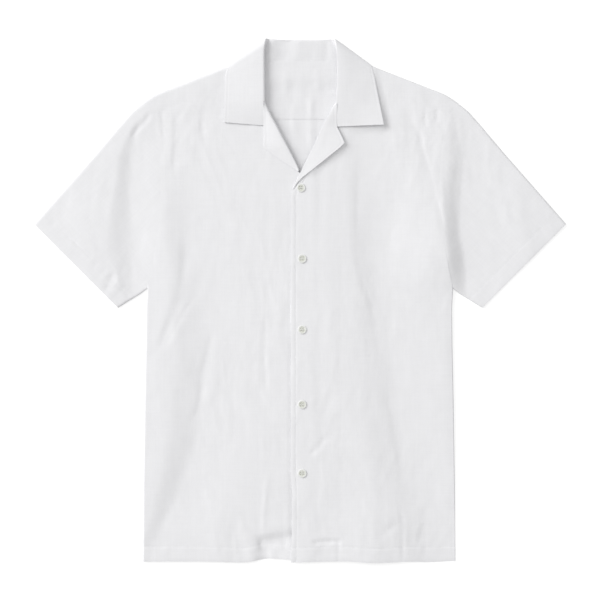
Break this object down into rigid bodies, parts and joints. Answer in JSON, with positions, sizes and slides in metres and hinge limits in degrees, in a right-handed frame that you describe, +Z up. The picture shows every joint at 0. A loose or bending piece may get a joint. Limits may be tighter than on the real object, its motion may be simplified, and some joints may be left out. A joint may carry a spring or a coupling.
{
  "type": "camp collar shirt",
  "caption": "Short-sleeved camp collar shirt in plain white linen, buttoned and laid flat on its back, with notched lapels and a yoke.",
  "frame": {"origin": "centre of the laid-out shirt's outline, on the surface that it lies on", "axes": "+X to the wearer's left, +Y from hem to collar, +Z up from the surface"},
  "size_m": [0.7972, 0.7875, 0.0127],
  "materials": {
    "linen": "plain-weave white linen, matt",
    "button": "pearly off-white, four holes"
  },
  "bodies": {
    "root": {"back_body": "linen", "back_yoke": "linen", "front_left": "linen", "front_right": "linen", "sleeve_left": "linen", "sleeve_right": "linen", "collar": "linen", "lapel_left": "linen", "lapel_right": "linen", "button_1": "button", "button_2": "button", "button_3": "button", "button_4": "button", "button_5": "button"}
  },
  "joints": []
}
